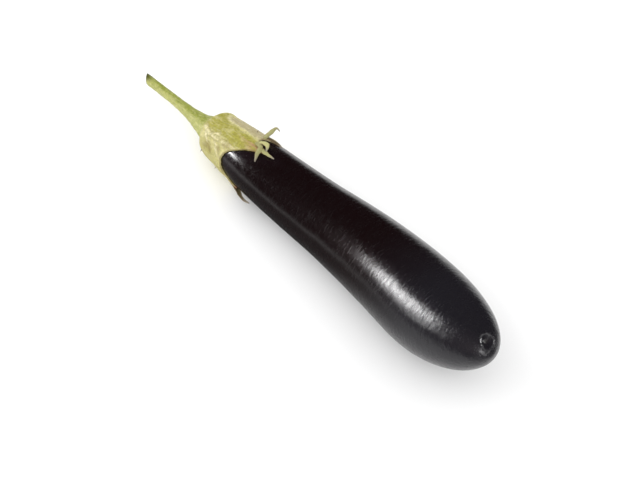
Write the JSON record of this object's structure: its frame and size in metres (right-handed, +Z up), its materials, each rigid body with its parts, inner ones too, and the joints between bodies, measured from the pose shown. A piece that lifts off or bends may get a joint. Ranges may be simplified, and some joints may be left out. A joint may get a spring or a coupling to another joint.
{
  "type": "eggplant",
  "caption": "Long glossy dark eggplant as picked, lying on its side, with its green lobed calyx and stalk and a sunk blossom scar.",
  "frame": {"origin": "on the surface the eggplant rests on, under the middle of its bounding box", "axes": "+X from the stalk towards the blossom end, +Y across, +Z up"},
  "size_m": [0.3416, 0.0634, 0.0625],
  "materials": {
    "skin": "glossy near-black purple fruit skin with fine pores",
    "calyx_green": "matt yellow-green calyx and stalk, finely pitted, with dried brown tips"
  },
  "bodies": {
    "root": {"fruit": "skin", "calyx_stem": "calyx_green"}
  },
  "joints": []
}
